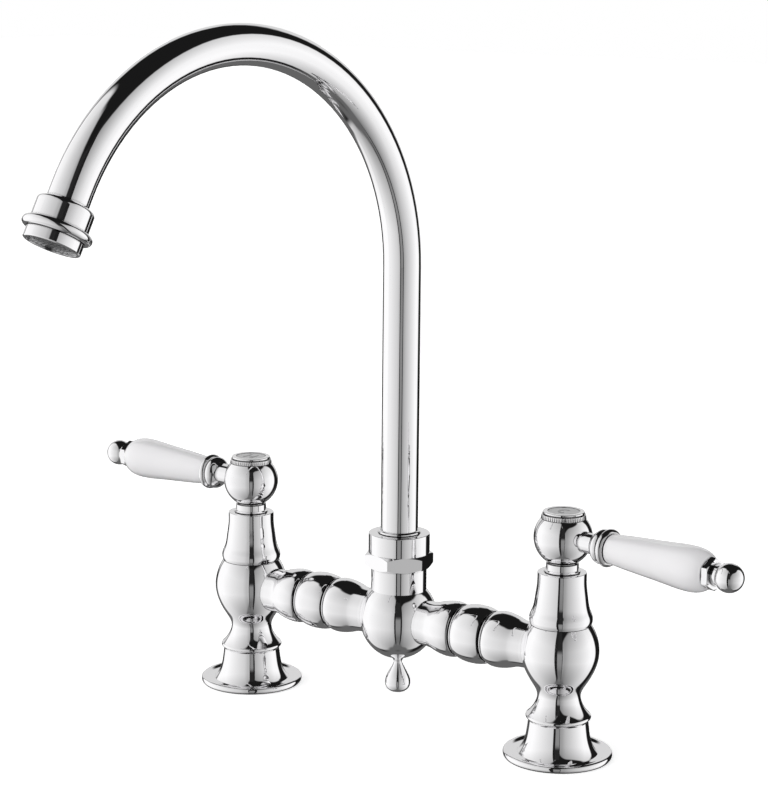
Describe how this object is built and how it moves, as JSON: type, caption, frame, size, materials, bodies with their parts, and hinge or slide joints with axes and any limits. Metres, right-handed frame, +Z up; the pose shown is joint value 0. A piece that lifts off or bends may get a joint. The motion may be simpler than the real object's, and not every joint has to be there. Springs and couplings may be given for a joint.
{
  "type": "bridge kitchen mixer tap",
  "caption": "Deck-mounted bridge kitchen mixer: turned pillars and arms in chrome, swan-neck swivel spout and white porcelain levers.",
  "frame": {"origin": "on the worktop, midway between the two inlets", "axes": "+X along the bridge from the hot side to the cold side, -Y towards the user, +Z up"},
  "size_m": [0.3761, 0.2355, 0.3252],
  "materials": {
    "chrome": "polished plate",
    "porcelain": "white glaze",
    "hot_index": "pale enamel with a plain dark H",
    "cold_index": "pale enamel with a plain dark C",
    "rubber": "matt black",
    "valve_ceramic": "lapped",
    "brass": "machined",
    "steel": "turned stainless",
    "plastic": "white acetal",
    "mesh_steel": "grey stainless mesh"
  },
  "bodies": {
    "root": {"centre_body": "chrome", "cold_arm_seals": "rubber", "cold_base_flange": "chrome", "cold_base_seal": "rubber", "cold_bell_cover": "chrome", "cold_bridge_arm": "chrome", "cold_fixed_disc": "valve_ceramic", "cold_pillar": "chrome", "cold_seat_seal": "rubber", "cold_valve_body": "brass", "cold_valve_seals": "rubber", "drop_finial": "chrome", "hot_arm_seals": "rubber", "hot_base_flange": "chrome", "hot_base_seal": "rubber", "hot_bell_cover": "chrome", "hot_bridge_arm": "chrome", "hot_fixed_disc": "valve_ceramic", "hot_pillar": "chrome", "hot_seat_seal": "rubber", "hot_valve_body": "brass", "hot_valve_seals": "rubber", "slip_ring": "plastic", "spout_nut": "chrome"},
    "hot_lever": {"hot_end_ball": "chrome", "hot_end_nut": "chrome", "hot_grip": "porcelain", "hot_grip_washers": "rubber", "hot_hub_screw": "steel", "hot_index_cap": "chrome", "hot_index_disc": "hot_index", "hot_lever_collar": "chrome", "hot_lever_hub": "chrome", "hot_lever_rod": "steel", "hot_moving_disc": "valve_ceramic", "hot_spindle": "steel", "hot_spindle_clip": "steel"},
    "cold_lever": {"cold_end_ball": "chrome", "cold_end_nut": "chrome", "cold_grip": "porcelain", "cold_grip_washers": "rubber", "cold_hub_screw": "steel", "cold_index_cap": "chrome", "cold_index_disc": "cold_index", "cold_lever_collar": "chrome", "cold_lever_hub": "chrome", "cold_lever_rod": "steel", "cold_moving_disc": "valve_ceramic", "cold_spindle": "steel", "cold_spindle_clip": "steel"},
    "spout": {"aerator_housing": "chrome", "aerator_mesh": "mesh_steel", "aerator_washer": "rubber", "flow_straightener": "plastic", "outlet_ferrule": "chrome", "spout_foot_ring": "chrome", "spout_seals": "rubber", "spout_tail": "brass", "spout_tube": "chrome"}
  },
  "joints": [
    {"name": "hot_lever_turn", "type": "hinge", "parent": "root", "child": "hot_lever", "pos_m": [-0.09, 0, 0.1023], "axis": [0, 0, 1], "range_deg": [0, 90]},
    {"name": "cold_lever_turn", "type": "hinge", "parent": "root", "child": "cold_lever", "pos_m": [0.09, 0, 0.1023], "axis": [0, 0, -1], "range_deg": [0, 90]},
    {"name": "spout_swivel", "type": "hinge", "parent": "root", "child": "spout", "pos_m": [0, 0, 0.085], "axis": [0, 0, 1], "continuous": true}
  ]
}
